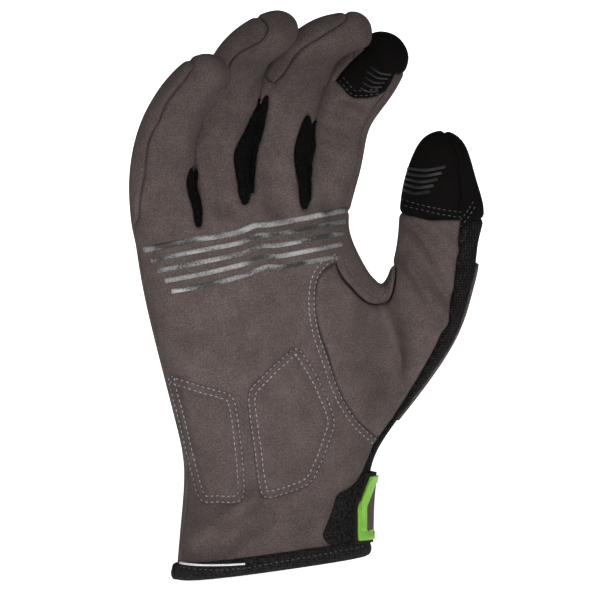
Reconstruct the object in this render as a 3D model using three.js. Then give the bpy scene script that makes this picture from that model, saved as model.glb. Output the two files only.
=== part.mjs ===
// Impact glove for the right hand, palm towards -Y, fingers up, as if a hand filled it.
// Millimetres, +Z up. The origin is the centre of the wrist opening.
import * as THREE from 'three';

// Driving sizes
const palmLength = 153;      // wrist opening to the finger roots
const palmWidth = 96;        // across the knuckles
const palmDepth = 33;        // palm to back of hand
const palmTurn = 24;         // degrees, the palm faces a little to the radial side
const cuffTilt = 6.5;         // degrees, the opening is lower on the little finger's side
const wall = 1.6;            // thickness of the suede panels
const meshWall = 1.0;        // thickness of the mesh side walls
const pointedGap = 1.6;      // how far the side walls stay back from their seams
const seamGap = 0.3;         // between neighbouring panels, and under what lies on them
const fingers = [
  { name: 'little', length: 80, width: 27, across: -0.468, up: 0.957 },
  { name: 'ring', length: 98, width: 26.5, across: -0.221, up: 0.976 },
  { name: 'middle', length: 101, width: 26, across: 0.022, up: 1.004 },
  { name: 'index', length: 84, width: 26, across: 0.256, up: 0.999 },
];
const thumbLength = 100;     // root of the thumb to its tip
const thumbWidth = 32;
const padThickness = 1.1;    // heel pads
const stripeWidth = 2;       // silicone lines on the palm
const stripeThickness = 0.5;
const tipGripWidth = 1.1;    // silicone lines on the index finger and thumb
const bindingHeight = 4.8;
const bindingThickness = 1.5;
const pileThickness = 1;     // loop patch
const tabThickness = 1.8;
const trimThickness = 0.9;
const trimWidth = 2.6;
const inlayThickness = 0.5;
const overlayThickness = 1.1; // layer on the back of the thumb

// Colours as in daylight
const suede = { color: 0x5f5652, roughness: 0.95, metalness: 0 };
const blackSuede = { color: 0x1f1a18, roughness: 0.95, metalness: 0 };
const mesh = { color: 0x1a1a1d, roughness: 0.85, metalness: 0 };
const silicone = { color: 0x3b3b3d, roughness: 0.3, metalness: 0 };
const pile = { color: 0x141416, roughness: 1, metalness: 0 };
const lime = { color: 0x8cc63f, roughness: 0.4, metalness: 0 };

// Sections of the palm: up is a share of palmLength, across and wide of palmWidth, deep of palmDepth
const palmSections = [
  { up: 0.012, across: 0.003, wide: 0.885, deep: 1.4 },
  { up: 0.133, across: 0.009, wide: 0.863, deep: 1.36 },
  { up: 0.288, across: 0.033, wide: 0.86, deep: 1.3 },
  { up: 0.376, across: 0.06, wide: 1.0, deep: 1.27 },
  { up: 0.561, across: 0.049, wide: 1.15, deep: 1.22 },
  { up: 0.775, across: -0.046, wide: 1.13, deep: 1.12 },
  { up: 0.907, across: -0.121, wide: 1.02, deep: 1.02 },
];

// Where the panels meet the fingers: side is a share of the half width, face 1 on the palm and -1 on the back
const rootSection = { across: -0.139, wide: 1.03, deep: 0.94 };
const rootRises = [
  { side: -0.93, front: 1.0, rear: 0.96 },
  { side: -0.72, front: 0.99, rear: 0.98 },
  { side: -0.45, front: 0.918, rear: 0.99 },
  { side: -0.2, front: 0.99, rear: 1.0 },
  { side: 0.02, front: 0.99, rear: 1.01 },
  { side: 0.28, front: 1.0, rear: 1.02 },
  { side: 0.55, front: 0.98, rear: 1.02 },
  { side: 0.75, front: 1.0, rear: 1.01 },
  { side: 0.95, front: 1.0, rear: 0.99 },
];
const webRises = { ulnar: 0.9, between: [1.04, 1.08, 1.07], radial: 0.96 };

// Sections of each finger: up, side and reach (towards the palm) are shares of its length,
// wide and deep of its width
const fingerSections = {
  little: [
    { up: 0.22, side: -0.02, reach: 0.01, wide: 1.06, deep: 0.86, turn: 28 },
    { up: 0.43, side: 0.01, reach: 0.1, wide: 0.98, deep: 0.78, turn: 30 },
    { up: 0.55, side: 0.065, reach: 0.19, wide: 0.93, deep: 0.76, turn: 34 },
    { up: 0.66, side: 0.14, reach: 0.28, wide: 0.88, deep: 0.74, turn: 38 },
    { up: 0.73, side: 0.22, reach: 0.36, wide: 0.84, deep: 0.72, turn: 40 },
    { up: 0.77, side: 0.285, reach: 0.42, wide: 0.66, deep: 0.58, turn: 40 },
  ],
  ring: [
    { up: 0.21, side: -0.02, reach: 0.01, wide: 1.0, deep: 0.84, turn: 26 },
    { up: 0.42, side: 0.012, reach: 0.03, wide: 1.04, deep: 0.8, turn: 34 },
    { up: 0.59, side: 0.042, reach: 0.09, wide: 1.06, deep: 0.78, turn: 44 },
    { up: 0.69, side: 0.1, reach: 0.17, wide: 1.02, deep: 0.78, turn: 54 },
    { up: 0.75, side: 0.21, reach: 0.28, wide: 0.86, deep: 0.76, turn: 60 },
    { up: 0.785, side: 0.29, reach: 0.34, wide: 0.66, deep: 0.6, turn: 62 },
  ],
  middle: [
    { up: 0.19, side: 0.0, reach: 0.01, wide: 1.0, deep: 0.84, turn: 24 },
    { up: 0.39, side: 0.03, reach: 0.05, wide: 1.06, deep: 0.82, turn: 30 },
    { up: 0.52, side: 0.075, reach: 0.12, wide: 1.14, deep: 0.8, turn: 36 },
    { up: 0.625, side: 0.137, reach: 0.2, wide: 1.1, deep: 0.78, turn: 44 },
    { up: 0.695, side: 0.225, reach: 0.28, wide: 0.92, deep: 0.76, turn: 50 },
    { up: 0.715, side: 0.36, reach: 0.35, wide: 0.74, deep: 0.62, turn: 50 },
  ],
  index: [
    { up: 0.21, side: 0.01, reach: 0.01, wide: 1.02, deep: 0.84, turn: 16 },
    { up: 0.41, side: 0.028, reach: 0.04, wide: 1.03, deep: 0.82, turn: 10 },
    { up: 0.54, side: 0.09, reach: 0.09, wide: 1.05, deep: 0.8, turn: 8 },
    { up: 0.66, side: 0.187, reach: 0.15, wide: 1.01, deep: 0.78, turn: 7 },
    { up: 0.76, side: 0.27, reach: 0.22, wide: 0.88, deep: 0.76, turn: 7 },
    { up: 0.81, side: 0.315, reach: 0.27, wide: 0.68, deep: 0.6, turn: 7 },
  ],
};
const thumbSections = [
  { up: 0.22, side: 0.16, reach: 0.05, wide: 1.22, deep: 1.08, turn: -11 },
  { up: 0.47, side: 0.205, reach: 0.09, wide: 1.0, deep: 0.88, turn: -18 },
  { up: 0.645, side: 0.214, reach: 0.11, wide: 1.04, deep: 0.82, turn: -20 },
  { up: 0.76, side: 0.22, reach: 0.13, wide: 0.98, deep: 0.8, turn: -20 },
  { up: 0.87, side: 0.23, reach: 0.15, wide: 0.82, deep: 0.74, turn: -20 },
  { up: 0.965, side: 0.235, reach: 0.17, wide: 0.56, deep: 0.54, turn: -20 },
];
const tipBulge = 0.2;        // share of the last section's width from its centre to the tip
const columnAngles = [-54, 0, 54, 97, 140, 180, 220, 263];
const cageGrowth = 1.109;    // a round section of eight cage points comes out this much smaller

// Seams and outlines seen from the palm side: across is a share of palmWidth, up of palmLength
const thumbSeam = [
  { across: 0.5, up: 0.33 }, { across: 0.463, up: 0.362 }, { across: 0.379, up: 0.412 },
  { across: 0.309, up: 0.484 }, { across: 0.256, up: 0.575 }, { across: 0.212, up: 0.658 },
  { across: 0.196, up: 0.733 }, { across: 0.207, up: 0.794 }, { across: 0.243, up: 0.83 },
  { across: 0.291, up: 0.847 }, { across: 0.309, up: 0.813 }, { across: 0.366, up: 0.772 },
  { across: 0.432, up: 0.736 }, { across: 0.494, up: 0.733 }, { across: 0.525, up: 0.764 },
  { across: 0.538, up: 0.824 },
];
const thumbSide = [
  { across: 0.5, up: 0.95 }, { across: 0.52, up: 1.4 }, { across: 1.4, up: 1.4 }, { across: 1.4, up: 0.2 },
];
const ulnarPadOutline = [
  { across: -0.45, up: 0.526 }, { across: -0.397, up: 0.526 }, { across: -0.291, up: 0.506 },
  { across: -0.194, up: 0.488 }, { across: -0.159, up: 0.465 }, { across: -0.137, up: 0.382 },
  { across: -0.119, up: 0.271 }, { across: -0.119, up: 0.21 }, { across: -0.15, up: 0.191 },
  { across: -0.229, up: 0.19 }, { across: -0.309, up: 0.196 }, { across: -0.353, up: 0.271 },
  { across: -0.406, up: 0.409 },
];
const thenarPadOutline = [
  { across: 0.106, up: 0.609 }, { across: 0.035, up: 0.578 }, { across: -0.044, up: 0.531 },
  { across: -0.097, up: 0.49 }, { across: -0.097, up: 0.432 }, { across: -0.075, up: 0.332 },
  { across: -0.053, up: 0.232 }, { across: -0.026, up: 0.203 }, { across: 0.049, up: 0.21 },
  { across: 0.163, up: 0.238 }, { across: 0.212, up: 0.288 }, { across: 0.256, up: 0.36 },
  { across: 0.273, up: 0.415 }, { across: 0.22, up: 0.504 }, { across: 0.159, up: 0.573 },
];
const loopPatchOutline = [
  { across: 0.392, up: 0.249 }, { across: 0.375, up: 0.224 }, { across: 0.304, up: 0.21 },
  { across: 0.269, up: 0.16 }, { across: 0.234, up: 0.111 }, { across: 0.236, up: 0.089 },
  { across: 0.26, up: 0.072 }, { across: 0.3, up: 0.072 }, { across: 0.397, up: 0.078 },
  { across: 0.414, up: 0.147 },
];
const firstStripe = [
  { across: -0.551, up: 0.877 }, { across: -0.362, up: 0.902 }, { across: -0.163, up: 0.924 },
  { across: -0.071, up: 0.946 }, { across: -0.009, up: 0.949 }, { across: 0.137, up: 0.966 },
  { across: 0.331, up: 0.993 },
];
const lastStripe = [
  { across: -0.432, up: 0.765 }, { across: -0.265, up: 0.784 }, { across: -0.11, up: 0.811 },
  { across: -0.026, up: 0.831 }, { across: 0.057, up: 0.833 }, { across: 0.168, up: 0.847 },
  { across: 0.3, up: 0.863 },
];
const firstIndexLine = [
  { across: 0.428, up: 1.383 }, { across: 0.472, up: 1.364 }, { across: 0.52, up: 1.36 },
];
const lastIndexLine = [
  { across: 0.388, up: 1.325 }, { across: 0.425, up: 1.314 }, { across: 0.467, up: 1.317 },
];
const firstThumbLine = [
  { across: 0.6, up: 1.107 }, { across: 0.68, up: 1.1 }, { across: 0.763, up: 1.109 },
];
const lastThumbLine = [
  { across: 0.58, up: 1.049 }, { across: 0.63, up: 1.036 }, { across: 0.692, up: 1.04 },
];
const lineCount = 5;         // silicone lines in each group

// The wrist tab: across and backAcross are shares of palmWidth, low, high and slantFrom of palmLength
const tabEnd = {
  across: 0.375, backAcross: 0.1, low: 0.069, high: 0.26, slantFrom: 0.16, slant: 0.3, border: 1.6,
};

// Folds of the palm side: a dent runs from one place to the other, deep in mm and half as wide as spread
const folds = [
  { fromAcross: -0.27, fromUp: 1.12, toAcross: -0.19, toUp: 1.02, deep: 1.6, spread: 9 },
  { fromAcross: -0.07, fromUp: 1.12, toAcross: 0.08, toUp: 0.98, deep: 1.8, spread: 9 },
  { fromAcross: 0.17, fromUp: 1.1, toAcross: 0.32, toUp: 0.99, deep: 1.8, spread: 10 },
  { fromAcross: 0.45, fromUp: 0.66, toAcross: 0.52, toUp: 0.5, deep: 2, spread: 14 },
  { fromAcross: -0.3, fromUp: 0.06, toAcross: -0.03, toUp: 0.15, deep: 1.4, spread: 12 },
];

const radians = (degrees) => degrees * Math.PI / 180;
const vector = (x, y, z) => new THREE.Vector3(x, y, z);
const across = (share) => share * palmWidth;
const up = (share) => share * palmLength;

// The cage: points and four-sided faces, each with the name of the panel that it belongs to
const cage = { points: [], faces: [] };
const addPoint = (point) => cage.points.push(point) - 1;
const addFace = (panel, a, b, c, d) => cage.faces.push({ panel, corners: [a, b, c, d] });

const palmAcross = vector(Math.cos(radians(palmTurn)), Math.sin(radians(palmTurn)), 0);
const palmFront = vector(Math.sin(radians(palmTurn)), -Math.cos(radians(palmTurn)), 0);
const sideShares = [-0.94, -0.72, -0.47, -0.235, 0, 0.235, 0.47, 0.72, 0.94];
const roundness = 2.5;       // 2 is an ellipse, more is squarer
const ulnarBack = 0.25;      // how far the seam beside the little finger lies behind the middle
const frontShare = (side) => (1 - Math.abs(side) ** roundness) ** (1 / roundness);

// One place on a section of the palm: side and face are shares of its half width and half depth
function palmPlace(section, side, face, rise) {
  const centre = across(section.across) / palmAcross.x;
  return vector(0, 0, rise)
    .addScaledVector(palmAcross, centre + side * section.wide * palmWidth / 2)
    .addScaledVector(palmFront, face * section.deep * palmDepth / 2);
}

// Twenty places round a section: nine on the palm, one radial, nine on the back, one ulnar
function palmRing(section, leanShare) {
  const lean = Math.tan(radians(cuffTilt)) * leanShare;
  const place = (side, face) => {
    const point = palmPlace(section, side, face, up(section.up));
    point.z += lean * point.x;
    return addPoint(point);
  };
  const front = sideShares.map((side) => place(side, frontShare(side)));
  const radial = place(1, 0);
  const rear = sideShares.map((side) => place(side, -frontShare(side)));
  const ulnar = place(-0.99, -ulnarBack);
  return { front, radial, rear, ulnar };
}

function rootRing() {
  const at = (row, face, rise) => addPoint(palmPlace(rootSection, row.side, face, up(rise)));
  return {
    front: rootRises.map((row) => at(row, frontShare(row.side), row.front)),
    rear: rootRises.map((row) => at(row, -frontShare(row.side), row.rear)),
    ulnar: addPoint(palmPlace(rootSection, -1, -0.1, up(webRises.ulnar))),
    radial: addPoint(palmPlace(rootSection, 1, 0, up(webRises.radial))),
    webs: webRises.between.map((rise, i) => {
      const row = rootRises[2 * i + 2];
      return addPoint(palmPlace(rootSection, row.side, 0, up(rise)));
    }),
  };
}

const rings = palmSections.map((section, i) => palmRing(section, Math.max(0, 1 - i / 3)));
const roots = rootRing();
rings.push(roots);

// Faces between the palm's rings, leaving the thumb's hole open
const holeStart = 3;         // ring at the lower edge of the thumb's hole
const holeEnd = 5;           // ring at its upper edge
for (let i = 0; i + 1 < rings.length; i += 1) {
  const low = rings[i];
  const high = rings[i + 1];
  for (let j = 0; j < 8; j += 1) {
    addFace('palm', low.front[j], low.front[j + 1], high.front[j + 1], high.front[j]);
    addFace('back_panel', low.rear[j + 1], low.rear[j], high.rear[j], high.rear[j + 1]);
  }
  addFace('palm', low.ulnar, low.front[0], high.front[0], high.ulnar);
  addFace('back_panel', low.rear[0], low.ulnar, high.ulnar, high.rear[0]);
  if (i < holeStart || i >= holeEnd) {
    const below = i < holeStart;
    const last = 8;
    addFace(below ? 'thumb_gusset' : 'palm', low.front[last], low.radial, high.radial, high.front[last]);
    addFace(below ? 'thumb_gusset' : 'back_panel', low.radial, low.rear[last], high.rear[last], high.radial);
  }
}

// Rings of eight places round a finger or the thumb, following its bent middle line
function digitRings(base, length, width, sections) {
  const centres = [base];
  for (const row of sections) {
    centres.push(base.clone().add(vector(row.side, -row.reach, row.up).multiplyScalar(length)));
  }
  const result = sections.map((row, i) => {
    const next = centres[Math.min(i + 2, centres.length - 1)];
    const along = next.clone().sub(centres[i]).normalize();
    const front = vector(Math.sin(radians(row.turn)), -Math.cos(radians(row.turn)), 0);
    front.addScaledVector(along, -front.dot(along)).normalize();
    const right = along.clone().cross(front);
    return columnAngles.map((angle) => {
      const deep = Math.cos(radians(angle)) * row.deep * width * cageGrowth / 2;
      const wide = Math.sin(radians(angle)) * row.wide * width * cageGrowth / 2;
      return addPoint(centres[i + 1].clone().addScaledVector(front, deep).addScaledVector(right, wide));
    });
  });
  const last = centres[centres.length - 1];
  const end = last.clone().sub(centres[centres.length - 2]).normalize();
  const tip = addPoint(last.clone().addScaledVector(end, tipBulge * width));
  return { result, tip };
}

function addDigit(rootLoop, digit, panelOf) {
  const loops = [rootLoop, ...digit.result];
  for (let i = 0; i + 1 < loops.length; i += 1) {
    for (let j = 0; j < 8; j += 1) {
      const k = (j + 1) % 8;
      addFace(panelOf(i, j), loops[i][j], loops[i][k], loops[i + 1][k], loops[i + 1][j]);
    }
  }
  const end = loops[loops.length - 1];
  for (let j = 0; j < 8; j += 2) {
    addFace(panelOf(loops.length - 1, j), end[j], end[j + 1], end[(j + 2) % 8], digit.tip);
  }
}

const fourchettes = ['fourchette_little_ring', 'fourchette_ring_middle', 'fourchette_middle_index'];
const fourchetteTop = 3;     // sections up to which the side walls are mesh
const rollStart = 5;         // the palm panel rolls over the tips from this section on
const indexTipStart = 3;     // sections at which the black tips begin
const thumbTipStart = 3;
const overlayEnd = 2;        // the layer on the back of the thumb ends at this section

const backs = fingers.map(({ name }) => `${name}_back`);
fingers.forEach((finger, f) => {
  const start = 2 * f;
  const right = f < 3 ? roots.webs[f] : roots.radial;
  const left = f > 0 ? roots.webs[f - 1] : roots.ulnar;
  const loop = [
    roots.front[start], roots.front[start + 1], roots.front[start + 2], right,
    roots.rear[start + 2], roots.rear[start + 1], roots.rear[start], left,
  ];
  const middle = across(finger.across);
  const base = vector(middle, middle * Math.tan(radians(palmTurn)), up(finger.up));
  const digit = digitRings(base, finger.length, finger.width, fingerSections[finger.name]);
  addDigit(loop, digit, (i, j) => {
    const front = j === 0 || j === 1;
    const rolled = i >= rollStart;
    if (f === 3 && ((front && i >= indexTipStart) || rolled)) return 'index_tip';
    if (front || rolled) return 'palm';
    if (i < fourchetteTop && f < 3 && (j === 2 || j === 3)) return fourchettes[f];
    if (i < fourchetteTop && f > 0 && (j === 6 || j === 7)) return fourchettes[f - 1];
    return backs[f];
  });
});

// The thumb grows from the hole: its loop starts at the front, next to the palm
const lower = rings[holeStart];
const centre = rings[holeStart + 1];
const upper = rings[holeEnd];
const thumbLoop = [
  upper.front[8], centre.front[8], lower.front[8], lower.radial,
  lower.rear[8], centre.rear[8], upper.rear[8], upper.radial,
];
const thumbBase = palmPlace(palmSections[holeStart + 1], 0.86, 0.1, up(palmSections[holeStart + 1].up));
addDigit(thumbLoop, digitRings(thumbBase, thumbLength, thumbWidth, thumbSections), (i, j) => {
  const front = j < 2 || j > 5;
  if (i >= thumbTipStart) return front || i >= rollStart ? 'thumb_tip' : 'thumb_tip_back';
  if (front) return 'palm';
  return j > 2 && i < overlayEnd ? 'thumb_gusset_back' : 'thumb_gusset';
});

// One Catmull-Clark step, then every point goes to its place on the limit surface
function neighbours(faces, count) {
  const around = Array.from({ length: count }, () => ({ faces: [], ends: new Set() }));
  const edges = new Map();
  faces.forEach((face, f) => {
    face.corners.forEach((a, i) => {
      const b = face.corners[(i + 1) % 4];
      around[a].faces.push(f);
      around[a].ends.add(b);
      around[b].ends.add(a);
      const key = a < b ? `${a},${b}` : `${b},${a}`;
      if (!edges.has(key)) edges.set(key, { a, b, faces: [] });
      edges.get(key).faces.push(f);
    });
  });
  return { around, edges };
}

const sumOf = (points) => points.reduce((sum, p) => sum.add(p), vector(0, 0, 0));
const average = (points) => sumOf(points).divideScalar(points.length);

function rimEnds(edges, count) {
  const ends = Array.from({ length: count }, () => []);
  for (const edge of edges.values()) {
    if (edge.faces.length === 1) {
      ends[edge.a].push(edge.b);
      ends[edge.b].push(edge.a);
    }
  }
  return ends;
}

function subdivide({ points, faces }) {
  const { around, edges } = neighbours(faces, points.length);
  const rims = rimEnds(edges, points.length);
  const middles = faces.map((face) => average(face.corners.map((c) => points[c])));
  const moved = points.map((point, p) => {
    if (rims[p].length > 0) {
      return average(rims[p].map((q) => points[q])).multiplyScalar(0.25).addScaledVector(point, 0.75);
    }
    const n = around[p].faces.length;
    const face = average(around[p].faces.map((f) => middles[f]));
    const edge = average([...around[p].ends].map((q) => points[q].clone().add(point).multiplyScalar(0.5)));
    return face.addScaledVector(edge, 2).addScaledVector(point, n - 3).divideScalar(n);
  });
  const faceStart = moved.length;
  moved.push(...middles);
  const edgePoint = new Map();
  for (const [key, edge] of edges) {
    const ends = [points[edge.a], points[edge.b]];
    const all = edge.faces.length === 2 ? [...ends, ...edge.faces.map((f) => middles[f])] : ends;
    edgePoint.set(key, moved.push(average(all)) - 1);
  }
  const keyOf = (a, b) => (a < b ? `${a},${b}` : `${b},${a}`);
  const finer = faces.flatMap((face, f) => face.corners.map((corner, i) => ({
    panel: face.panel,
    corners: [
      corner,
      edgePoint.get(keyOf(corner, face.corners[(i + 1) % 4])),
      faceStart + f,
      edgePoint.get(keyOf(face.corners[(i + 3) % 4], corner)),
    ],
  })));
  return { points: moved, faces: finer };
}

function toLimit({ points, faces }) {
  const { around, edges } = neighbours(faces, points.length);
  const rims = rimEnds(edges, points.length);
  return points.map((point, p) => {
    if (rims[p].length > 0) {
      return average(rims[p].map((q) => points[q])).divideScalar(3).addScaledVector(point, 2 / 3);
    }
    const n = around[p].faces.length;
    const sum = point.clone().multiplyScalar(n * n);
    for (const q of around[p].ends) sum.addScaledVector(points[q], 4);
    for (const f of around[p].faces) {
      const { corners } = faces[f];
      sum.add(points[corners[(corners.indexOf(p) + 2) % 4]]);
    }
    return sum.divideScalar(n * (n + 5));
  });
}

function pointNormals(points, faces) {
  const normals = points.map(() => vector(0, 0, 0));
  for (const { corners } of faces) {
    const [a, b, c, d] = corners.map((i) => points[i]);
    const normal = c.clone().sub(a).cross(d.clone().sub(b));
    for (const i of corners) normals[i].add(normal);
  }
  return normals.map((normal) => normal.normalize());
}

const distanceToSegment = (x, z, ax, az, bx, bz) => {
  const along = ((x - ax) * (bx - ax) + (z - az) * (bz - az)) / ((bx - ax) ** 2 + (bz - az) ** 2);
  const t = Math.min(1, Math.max(0, along));
  return Math.hypot(x - ax - t * (bx - ax), z - az - t * (bz - az));
};

function foldDepth(point, normal) {
  const facing = Math.min(1, Math.max(0, -normal.y));
  return folds.reduce((depth, fold) => {
    const ends = [across(fold.fromAcross), up(fold.fromUp), across(fold.toAcross), up(fold.toUp)];
    const away = distanceToSegment(point.x, point.z, ...ends) / fold.spread;
    return depth + (away < 1 ? fold.deep * facing * (1 - away * away) ** 2 : 0);
  }, 0);
}

const finer = subdivide(cage);
const skinPoints = toLimit(finer);
const smooth = pointNormals(skinPoints, finer.faces);
skinPoints.forEach((point, i) => point.addScaledVector(smooth[i], -foldDepth(point, smooth[i])));
const skinNormals = pointNormals(skinPoints, finer.faces);

// A patch is a list of triangles, each of three corners with a place and a normal
const corner = (i) => ({ place: skinPoints[i], normal: skinNormals[i] });
function patchOf(...panels) {
  return finer.faces.filter((face) => panels.includes(face.panel)).flatMap(({ corners }) => {
    const [a, b, c, d] = corners.map(corner);
    return [[a, b, c], [a, c, d]];
  });
}

const between = (a, b, t) => ({
  place: a.place.clone().lerp(b.place, t),
  normal: a.normal.clone().lerp(b.normal, t),
});

// Splits each triangle into four flat ones
const refine = (patch) => patch.flatMap(([a, b, c]) => {
  const [ab, bc, ca] = [between(a, b, 0.5), between(b, c, 0.5), between(c, a, 0.5)];
  return [[a, ab, ca], [ab, b, bc], [ca, bc, c], [ab, bc, ca]];
});

// Keeps the part where the field is positive; a corner nearer the edge than snap lies on it
function cut(patch, field, snap) {
  const valueOf = (point) => {
    const value = field(point.place);
    return Math.abs(value) < snap ? 0 : value;
  };
  const crossing = (a, b, va, vb) => {
    const forward = a.place.x < b.place.x || (a.place.x === b.place.x && a.place.z < b.place.z);
    return forward ? between(a, b, va / (va - vb)) : between(b, a, vb / (vb - va));
  };
  return patch.flatMap((triangle) => {
    const values = triangle.map(valueOf);
    const kept = [];
    triangle.forEach((point, i) => {
      const next = (i + 1) % 3;
      if (values[i] >= 0) kept.push(point);
      if (values[i] * values[next] < 0) kept.push(crossing(point, triangle[next], values[i], values[next]));
    });
    const inside = values.some((value) => value > 0);
    if (!inside || kept.length < 3) return [];
    return kept.length === 3 ? [kept] : [[kept[0], kept[1], kept[2]], [kept[0], kept[2], kept[3]]];
  });
}

// Distance inside a closed outline seen from the palm side, negative outside
function insideOutline(outline) {
  const ends = outline.map((row) => [across(row.across), up(row.up)]);
  return ({ x, z }) => {
    let nearest = Infinity;
    let inside = false;
    ends.forEach(([ax, az], i) => {
      const [bx, bz] = ends[(i + 1) % ends.length];
      nearest = Math.min(nearest, distanceToSegment(x, z, ax, az, bx, bz));
      if ((az > z) !== (bz > z) && x < ax + (z - az) * (bx - ax) / (bz - az)) inside = !inside;
    });
    return inside ? nearest : -nearest;
  };
}

// Height above a curve that runs from left to right, seen from the palm side
function aboveCurve(curve) {
  const points = curve.map((row) => vector(across(row.across), 0, up(row.up)));
  const line = new THREE.CatmullRomCurve3(points).getPoints(8 * points.length);
  return ({ x, z }) => {
    let i = 0;
    while (i + 2 < line.length && line[i + 1].x < x) i += 1;
    const [a, b] = [line[i], line[i + 1]];
    const slope = (b.z - a.z) / (b.x - a.x);
    return (z - a.z - (x - a.x) * slope) / Math.hypot(1, slope);
  };
}

// Joins equal places, pulls the edge in by half the gap and gives the patch a thickness
function weld(patch) {
  const points = [];
  const index = new Map();
  const indexOf = ({ place, normal }) => {
    const key = place.toArray().map((value) => Math.round(value * 1e4)).join();
    if (!index.has(key)) index.set(key, points.push({ place: place.clone(), normal: normal.clone() }) - 1);
    return index.get(key);
  };
  const triangles = patch
    .map((triangle) => triangle.map(indexOf))
    .filter(([a, b, c]) => a !== b && b !== c && c !== a);
  return { points, triangles };
}

function openEdges(triangles) {
  const seen = new Set(triangles.flatMap(([a, b, c]) => [`${a},${b}`, `${b},${c}`, `${c},${a}`]));
  return [...seen].map((key) => key.split(',').map(Number)).filter(([a, b]) => !seen.has(`${b},${a}`));
}

function solidOf(patch, low, high, inset = seamGap / 2) {
  const { points, triangles } = weld(patch);
  const rim = openEdges(triangles);
  const pulls = new Map();
  for (const [a, b] of rim) {
    const edge = points[b].place.clone().sub(points[a].place).normalize();
    const inward = points[a].normal.clone().cross(edge).normalize();
    for (const end of [a, b]) pulls.set(end, (pulls.get(end) ?? vector(0, 0, 0)).add(inward));
  }
  for (const [i, pull] of pulls) points[i].place.addScaledVector(pull.normalize(), inset);
  const layer = (height) => points.flatMap(({ place, normal }) => {
    const rise = typeof height === 'function' ? height(place) : height;
    return place.clone().addScaledVector(normal, rise).toArray();
  });
  const count = points.length;
  const faces = triangles.flatMap(([a, b, c]) => [a, b, c, count + c, count + b, count + a]);
  for (const [a, b] of rim) faces.push(b, a, count + a, b, count + a, count + b);
  const geometry = new THREE.BufferGeometry();
  geometry.setAttribute('position', new THREE.Float32BufferAttribute([...layer(high), ...layer(low)], 3));
  geometry.setIndex(faces);
  geometry.computeVertexNormals();
  return geometry;
}

const glove = new THREE.Group();
function addPiece(name, geometry, finish) {
  const piece = new THREE.Mesh(geometry, new THREE.MeshStandardMaterial(finish));
  piece.name = name;
  glove.add(piece);
}

// The panels of the hand
const seamSnap = 0.5;
const palmSide = patchOf('palm');
const thumbField = insideOutline([...thumbSeam, ...thumbSide]);
const palmCut = cut(palmSide, (place) => -thumbField(place) - seamGap / 2, seamSnap);
const thumbCut = cut(palmSide, (place) => thumbField(place) - seamGap / 2, seamSnap);
addPiece('palm_panel', solidOf(palmCut, -wall, 0), suede);
addPiece('thumb_panel', solidOf(thumbCut, -wall, 0), suede);
for (const name of ['back_panel', ...backs]) addPiece(name, solidOf(patchOf(name), -wall, 0), suede);
for (const name of fourchettes) addPiece(name, solidOf(patchOf(name), -meshWall, 0, pointedGap), mesh);
addPiece('thumb_gusset', solidOf(patchOf('thumb_gusset', 'thumb_gusset_back'), -wall, 0), mesh);
const overlay = solidOf(patchOf('thumb_gusset_back'), seamGap, seamGap + overlayThickness);
addPiece('thumb_back_overlay', overlay, suede);
addPiece('thumb_tip', solidOf(patchOf('thumb_tip'), -wall, 0), blackSuede);
addPiece('thumb_tip_back', solidOf(patchOf('thumb_tip_back'), -wall, 0), blackSuede);
addPiece('index_tip', solidOf(patchOf('index_tip'), -wall, 0), blackSuede);

// Heel pads and the loop patch lie on the palm
const fineSnap = 0.2;
const frontOnly = (patch) => patch.filter((triangle) => triangle.every(({ normal }) => normal.y < 0));
const palmFace = frontOnly(palmSide);
const onPalm = (name, thickness, outline, finish) => {
  const region = cut(palmFace, insideOutline(outline), fineSnap);
  addPiece(name, solidOf(region, seamGap, seamGap + thickness, 0), finish);
};
onPalm('ulnar_heel_pad', padThickness, ulnarPadOutline, suede);
onPalm('thenar_heel_pad', padThickness, thenarPadOutline, suede);
onPalm('loop_patch', pileThickness, loopPatchOutline, pile);

// Silicone lines: each group fills in between its first and its last curve
function addLines(name, patch, first, last, width) {
  for (let i = 0; i < lineCount; i += 1) {
    const t = i / (lineCount - 1);
    const curve = first.map((row, k) => ({
      across: row.across + t * (last[k].across - row.across),
      up: row.up + t * (last[k].up - row.up),
    }));
    const above = aboveCurve(curve);
    const [start, end] = [across(curve[0].across), across(curve[curve.length - 1].across)];
    let band = cut(patch, (place) => place.x - start, fineSnap);
    band = cut(band, (place) => end - place.x, fineSnap);
    band = cut(band, (place) => above(place) + width / 2, fineSnap);
    band = cut(band, (place) => width / 2 - above(place), fineSnap);
    addPiece(`${name}_${i + 1}`, solidOf(band, seamGap, seamGap + stripeThickness, 0), silicone);
  }
}
addLines('grip_stripe', palmFace, firstStripe, lastStripe, stripeWidth);
addLines('index_grip', frontOnly(patchOf('index_tip')), firstIndexLine, lastIndexLine, tipGripWidth);
addLines('thumb_grip', frontOnly(patchOf('thumb_tip')), firstThumbLine, lastThumbLine, tipGripWidth);

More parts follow.
